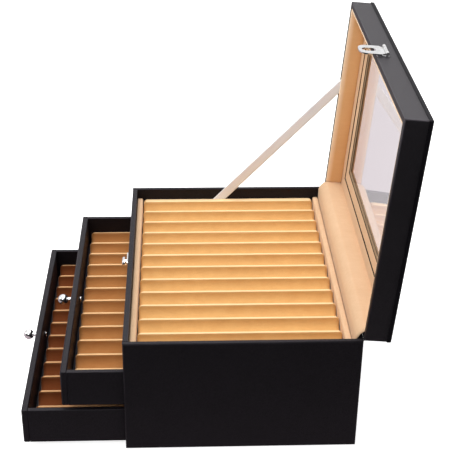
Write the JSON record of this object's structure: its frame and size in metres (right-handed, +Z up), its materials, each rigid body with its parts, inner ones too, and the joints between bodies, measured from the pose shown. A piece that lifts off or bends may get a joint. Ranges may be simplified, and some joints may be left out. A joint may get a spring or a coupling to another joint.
{
  "type": "pen collector chest",
  "caption": "Leatherette pen chest with a hinged glass-topped lid, a grooved velour tray and grooved drawers on ball knobs, shut by a hasp over a turn catch.",
  "frame": {"origin": "centre of the case's footprint, on the flat underside that it stands on", "axes": "+Z up, +X across the grooves to the case's right as seen from the front, -Y out of the front where the drawers slide, +Y to the hinges"},
  "size_m": [0.3014, 0.3587, 0.3292],
  "materials": {
    "leatherette": "fine-grained black leatherette, satin",
    "velour": "tan velour over foam",
    "soft_lining": "light tan suede lining",
    "ribbon": "pale beige satin ribbon",
    "felt": "black felt",
    "chrome": "polished",
    "glass": "clear, polished"
  },
  "bodies": {
    "case": {"case_side_left": "leatherette", "case_side_right": "leatherette", "case_back": "leatherette", "case_floor": "leatherette", "drawer_shelf": "leatherette", "tray_deck": "leatherette", "front_rail": "leatherette", "base_felt": "felt", "tray_insert": "velour", "tray_front_pad": "soft_lining", "tray_rear_pad": "soft_lining", "case_back_lining": "soft_lining", "lid_ribbon": "ribbon", "hinge_gusset": "soft_lining", "hinge_leaves_case": "chrome", "hinge_pins": "chrome", "hinge_screws_case": "chrome", "catch_plate": "chrome", "catch_screws": "chrome"},
    "lid": {"lid_top": "leatherette", "lid_front": "leatherette", "lid_back": "leatherette", "lid_side_left": "leatherette", "lid_side_right": "leatherette", "glass_pane": "glass", "window_border": "soft_lining", "window_moulding": "soft_lining", "lid_lining_front": "soft_lining", "lid_lining_left": "soft_lining", "lid_lining_right": "soft_lining", "lid_back_lining": "soft_lining", "hinge_leaves_lid": "chrome", "hinge_screws_lid": "chrome", "hasp_base": "chrome", "hasp_pin": "chrome", "hasp_screws": "chrome"},
    "hasp": {"hasp_leaf": "chrome"},
    "catch": {"turn_knob": "chrome"},
    "middle_drawer": {"middle_drawer_front": "leatherette", "middle_drawer_side_left": "leatherette", "middle_drawer_side_right": "leatherette", "middle_drawer_back": "leatherette", "middle_drawer_bottom": "leatherette", "middle_drawer_insert": "velour", "middle_drawer_knob": "chrome", "middle_drawer_knob_bolt": "chrome"},
    "lower_drawer": {"lower_drawer_front": "leatherette", "lower_drawer_side_left": "leatherette", "lower_drawer_side_right": "leatherette", "lower_drawer_back": "leatherette", "lower_drawer_bottom": "leatherette", "lower_drawer_insert": "velour", "lower_drawer_knob": "chrome", "lower_drawer_knob_bolt": "chrome"}
  },
  "joints": [
    {"name": "lid_hinge", "type": "hinge", "parent": "case", "child": "lid", "pos_m": [0, 0.105, 0.116], "axis": [-1, 0, 0], "range_deg": [-94.6, 0], "deforming": ["lid_ribbon", "hinge_gusset"]},
    {"name": "hasp_swing", "type": "hinge", "parent": "lid", "child": "hasp", "pos_m": [0, 0.13205, 0.32751], "axis": [-1, 0, 0], "range_deg": [0, 170]},
    {"name": "catch_turn", "type": "hinge", "parent": "case", "child": "catch", "pos_m": [0, -0.105, 0.1105], "axis": [0, 1, 0], "range_deg": [0, 90]},
    {"name": "middle_drawer_slide", "type": "slide", "parent": "case", "child": "middle_drawer", "axis": [0, -1, 0], "range_m": [-0.056, 0.094]},
    {"name": "lower_drawer_slide", "type": "slide", "parent": "case", "child": "lower_drawer", "axis": [0, -1, 0], "range_m": [-0.093, 0.057]}
  ]
}
